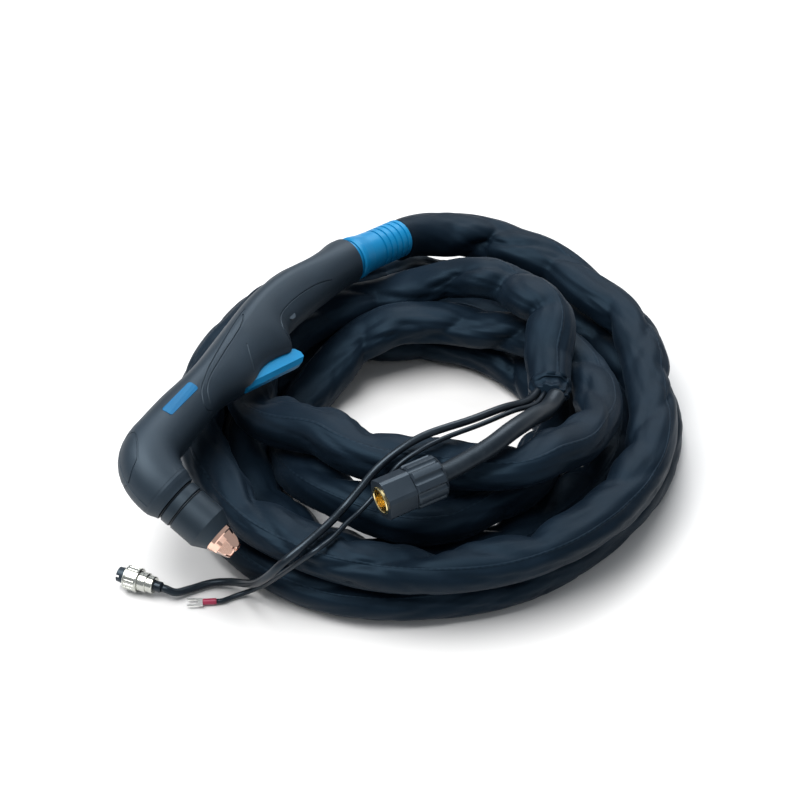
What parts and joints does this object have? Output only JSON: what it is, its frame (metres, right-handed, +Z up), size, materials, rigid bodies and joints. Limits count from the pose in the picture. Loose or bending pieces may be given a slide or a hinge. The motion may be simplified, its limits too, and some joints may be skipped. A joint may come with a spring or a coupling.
{
  "type": "plasma cutting torch",
  "caption": "Hand-held plasma cutting torch with trigger handle, crown shield, swivel, coiled fabric lead, gas and power connector, control plug and pilot terminal.",
  "frame": {"origin": "On the retaining cap's axis, in the middle of the cap's straight band.", "axes": "The torch lies on its coiled lead. +X runs along the handle towards the rear swivel, +Z is up from the surface that the lead lies on."},
  "size_m": [0.384, 0.3274, 0.1039],
  "materials": {
    "shell_plastic": "fine moulded texture",
    "cap_plastic": "satin moulded",
    "grip_plastic": "satin moulded",
    "blue_plastic": "satin moulded",
    "phenolic": "moulded phenolic",
    "red_plastic": "moulded",
    "copper": "machined copper",
    "brass": "machined brass",
    "ceramic": "fired",
    "steel": "plain steel",
    "nickel": "satin nickel plate",
    "gold_pin": "plated contact",
    "seal_rubber": "matt",
    "hose_rubber": "smooth extruded",
    "wire_jacket": "smooth extruded",
    "pilot_jacket": "smooth extruded",
    "switch_jacket": "smooth extruded",
    "braid_fabric": "woven"
  },
  "bodies": {
    "torch": {"handle_left": "shell_plastic", "handle_right": "shell_plastic", "head_collar": "shell_plastic", "head_body": "phenolic", "spacer_ring": "cap_plastic", "o_rings": "seal_rubber", "retaining_cap": "cap_plastic", "shield_cap": "copper", "nozzle": "copper", "swirl_ring": "ceramic", "electrode": "copper", "cathode": "brass", "torch_tube": "copper", "hose_ferrule": "brass", "inner_hose": "hose_rubber", "micro_switch": "cap_plastic", "switch_leads": "switch_jacket", "pilot_lead": "pilot_jacket", "trigger_pin": "steel", "trigger_spring": "steel", "handle_screws": "steel", "label_plate": "blue_plastic", "tail_collar": "blue_plastic", "lead_stretch": "braid_fabric", "lead_coil": "braid_fabric", "sleeve_end": "braid_fabric", "gas_hose": "hose_rubber", "hose_nipple": "brass", "control_wire": "wire_jacket", "plug_boot": "wire_jacket", "plug_clamp": "nickel", "plug_shell": "nickel", "plug_insert": "cap_plastic", "plug_pins": "gold_pin", "pilot_wire": "wire_jacket", "terminal_sleeve": "red_plastic", "fork_terminal": "nickel"},
    "trigger": {"trigger": "blue_plastic"},
    "switch_button": {"switch_button": "red_plastic"},
    "swivel": {"swivel_sleeve": "blue_plastic"},
    "union_nut": {"brass_nut": "brass", "hex_insulator": "grip_plastic", "nut_grip": "grip_plastic"},
    "coupling_ring": {"plug_ring": "nickel"}
  },
  "joints": [
    {"name": "trigger_press", "type": "hinge", "parent": "torch", "child": "trigger", "pos_m": [0.10768, 0.02988, 0.01522], "axis": [0, -0.454, 0.891], "range_deg": [0, 6], "stiffness_Nm_per_rad": 0.5, "springref_deg": -5.73},
    {"name": "switch_press", "type": "slide", "parent": "torch", "child": "switch_button", "axis": [0, 0.891, 0.454], "range_m": [0, 0.0018]},
    {"name": "swivel_turn", "type": "hinge", "parent": "torch", "child": "swivel", "pos_m": [0.25585, 0.01715, 0.00874], "axis": [0.9272, -0.3338, -0.1701], "range_deg": [-180, 180]},
    {"name": "connector_nut_turn", "type": "hinge", "parent": "torch", "child": "union_nut", "pos_m": [0.0736, -0.1259, 0.018], "axis": [-0.7981, 0.6014, -0.0349], "continuous": true},
    {"name": "coupling_ring_turn", "type": "hinge", "parent": "torch", "child": "coupling_ring", "pos_m": [-0.0132, 0.022, -0.0564], "axis": [0, 1, 0], "continuous": true}
  ],
  "couplings": [
    {"joint": "switch_press", "follows": "trigger_press", "m_per_rad": 0.017}
  ]
}
